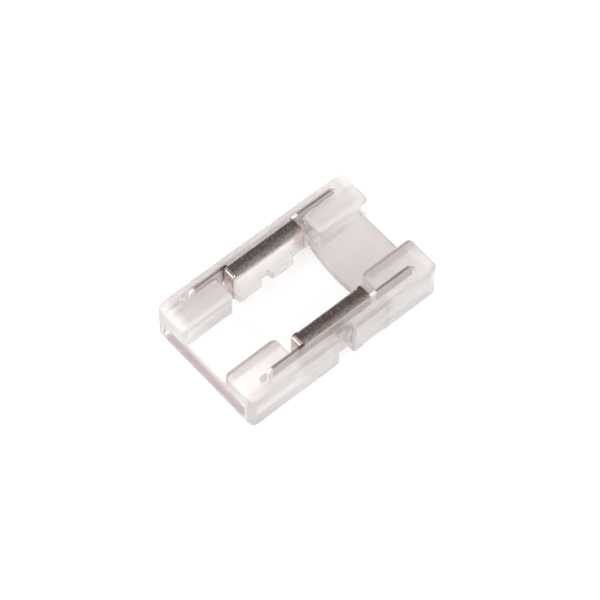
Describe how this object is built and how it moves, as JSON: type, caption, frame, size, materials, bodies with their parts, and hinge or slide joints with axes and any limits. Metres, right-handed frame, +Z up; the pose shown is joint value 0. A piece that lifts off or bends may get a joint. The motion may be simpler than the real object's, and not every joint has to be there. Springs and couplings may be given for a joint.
{
  "type": "led strip connector",
  "caption": "Clear low connector joining flexible LED strips end to end: open strip way between corner blocks, a window in its floor and a pressed metal contact along each side.",
  "frame": {"origin": "centre of the bounding box at the underside", "axes": "+X along the strips, +Y from the side with the notch to the plain side, +Z up out of the open top"},
  "size_m": [0.0202, 0.0124, 0.0048],
  "materials": {
    "clear_plastic": "clear, gloss",
    "plated_contact": "plated, satin"
  },
  "bodies": {
    "root": {"housing": "clear_plastic", "far_contact": "plated_contact", "near_contact": "plated_contact"}
  },
  "joints": []
}
